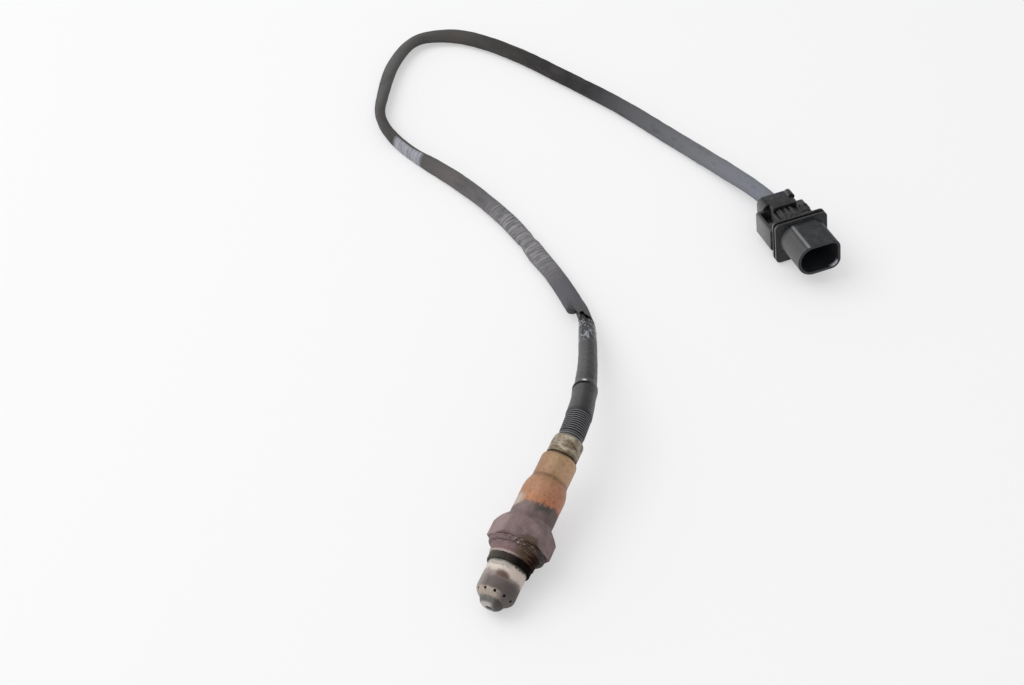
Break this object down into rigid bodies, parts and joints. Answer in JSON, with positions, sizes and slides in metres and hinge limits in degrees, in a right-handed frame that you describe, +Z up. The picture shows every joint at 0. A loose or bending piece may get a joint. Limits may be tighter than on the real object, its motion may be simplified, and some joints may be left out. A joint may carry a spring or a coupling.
{
  "type": "oxygen sensor",
  "caption": "Exhaust oxygen sensor: threaded hexagonal body with a domed protection tube, a stepped steel sleeve, a ribbed rubber boot and a braided lead to a flanged plug.",
  "frame": {"origin": "under the middle of the sensor head, on the plane that the part lies on", "axes": "+X from the lead towards the sensor's tip, +Z up; the lead loops back on the -X side and the connector lies at -X, +Y"},
  "size_m": [0.322, 0.2552, 0.0279],
  "materials": {
    "shell_steel": "matte",
    "ring_steel": "satin",
    "tube_steel": "matte",
    "sleeve_steel": "satin",
    "collar_steel": "satin",
    "element_ceramic": "matte",
    "packing_powder": "matte",
    "insulator_ceramic": "matte",
    "contact_metal": "satin",
    "grommet_rubber": "matte",
    "boot_rubber": "matte",
    "shrink_plastic": "semi-gloss",
    "lead_braid": "woven",
    "wire_insulation": "satin",
    "connector_plastic": "satin",
    "seal_rubber": "matte",
    "resistor_ceramic": "matte"
  },
  "bodies": {
    "root": {"hex_shell": "shell_steel", "seal_ring": "ring_steel", "outer_protection_tube": "tube_steel", "inner_protection_tube": "tube_steel", "sensing_element": "element_ceramic", "front_ceramic_bush": "insulator_ceramic", "powder_packing": "packing_powder", "rear_ceramic_bush": "insulator_ceramic", "protective_sleeve": "sleeve_steel", "contact_holder": "insulator_ceramic", "holder_clamp": "collar_steel", "contact_springs": "contact_metal", "wire_crimps": "contact_metal", "crimp_collar": "collar_steel", "cable_grommet": "grommet_rubber", "corrugated_boot": "boot_rubber", "sensor_wires": "wire_insulation", "heat_shrink_sleeve": "shrink_plastic", "sensor_cable": "lead_braid", "connector_housing": "connector_plastic", "contact_pins": "contact_metal", "rear_cover": "connector_plastic", "contact_lock": "connector_plastic", "wire_seal": "seal_rubber", "trim_resistor": "resistor_ceramic"}
  },
  "joints": []
}
